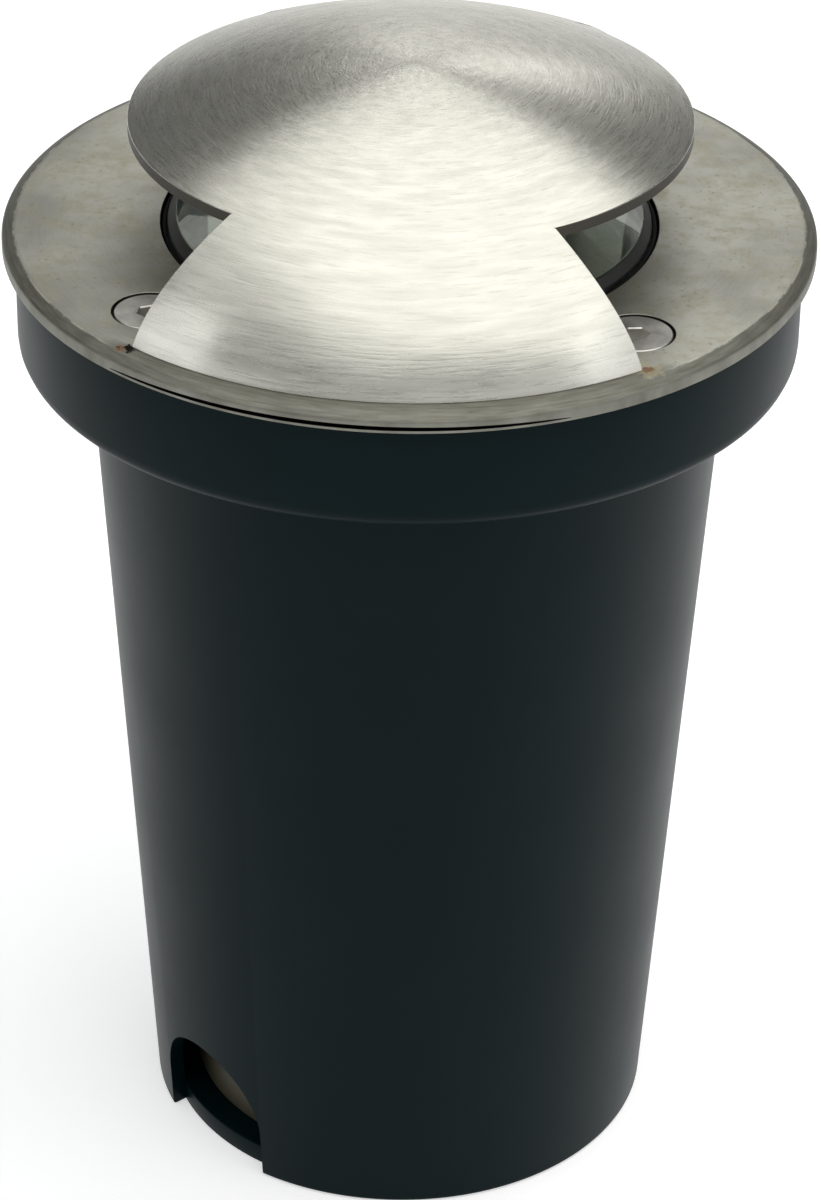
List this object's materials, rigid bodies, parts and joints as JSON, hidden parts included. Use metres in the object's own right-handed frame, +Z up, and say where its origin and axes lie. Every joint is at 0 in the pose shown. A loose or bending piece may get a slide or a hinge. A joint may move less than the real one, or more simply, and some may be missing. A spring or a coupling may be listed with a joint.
{
  "type": "in ground well light",
  "caption": "Round in-ground light: a stainless dome with two side windows on a flat face plate, over a lamp unit that lifts out of a tapered plastic sleeve with cable notches.",
  "frame": {"origin": "centre of the sleeve's foot, the face that it stands on", "axes": "+Z up along the light's axis; -Y towards the front leg of the dome; the two windows look to -X and +X"},
  "size_m": [0.11, 0.11, 0.1634],
  "materials": {
    "sleeve_plastic": "satin black moulded polypropylene",
    "plate_steel": "turned stainless steel, slightly mottled",
    "dome_steel": "circularly brushed stainless steel",
    "screw_steel": "polished stainless steel",
    "seal_rubber": "black silicone rubber",
    "lens_glass": "clear toughened glass with a faint green edge",
    "cast_alloy": "die-cast aluminium, blasted",
    "reflector_metal": "bright metallised facets",
    "chip_phosphor": "yellow phosphor under clear silicone",
    "board_white": "white solder mask on an aluminium board",
    "pad_blue": "soft blue-grey thermal pad",
    "holder_white": "white moulded holder",
    "small_steel": "zinc-bright steel",
    "lead_red": "red insulated wire",
    "lead_black": "black insulated wire",
    "driver_plastic": "dark blue-grey potted case",
    "terminal_plastic": "cream terminal block",
    "terminal_brass": "brass clamp screws",
    "cap_plastic": "dark brown moulded plastic",
    "gland_nylon": "black nylon"
  },
  "bodies": {
    "ground_sleeve": {"sleeve": "sleeve_plastic", "collar_seal": "seal_rubber"},
    "lamp_unit": {"lens_gasket": "seal_rubber", "glass_lens": "lens_glass", "lens_seat_ring": "seal_rubber", "lamp_housing": "cast_alloy", "reflector": "reflector_metal", "led_chip": "chip_phosphor", "led_board": "board_white", "thermal_pad": "pad_blue", "led_holder": "holder_white", "led_holder_screws": "small_steel", "shelf_grommet": "seal_rubber", "led_leads": "lead_red", "driver_case": "driver_plastic", "driver_screws": "small_steel", "driver_leads": "lead_black", "terminal_block": "terminal_plastic", "terminal_clamp_screws": "terminal_brass", "terminal_mount_screw": "small_steel", "base_cap": "cap_plastic", "base_o_ring": "seal_rubber", "base_screws": "small_steel", "gland_body": "gland_nylon", "gland_washer": "seal_rubber", "gland_lock_nut": "gland_nylon", "gland_seal": "seal_rubber"},
    "cover": {"face_plate": "plate_steel", "dome_cover": "dome_steel", "cover_screws": "screw_steel"},
    "gland_nut": {"gland_nut": "gland_nylon"}
  },
  "joints": [
    {"name": "lamp_lift", "type": "slide", "parent": "ground_sleeve", "child": "lamp_unit", "axis": [0, 0, 1], "range_m": [0, 0.14]},
    {"name": "cover_lift", "type": "slide", "parent": "lamp_unit", "child": "cover", "axis": [0, 0, 1], "range_m": [0, 0.04]},
    {"name": "gland_nut_turn", "type": "hinge", "parent": "lamp_unit", "child": "gland_nut", "pos_m": [0, 0, 0.03], "axis": [0, 0, 1], "range_deg": [0, 360]}
  ]
}
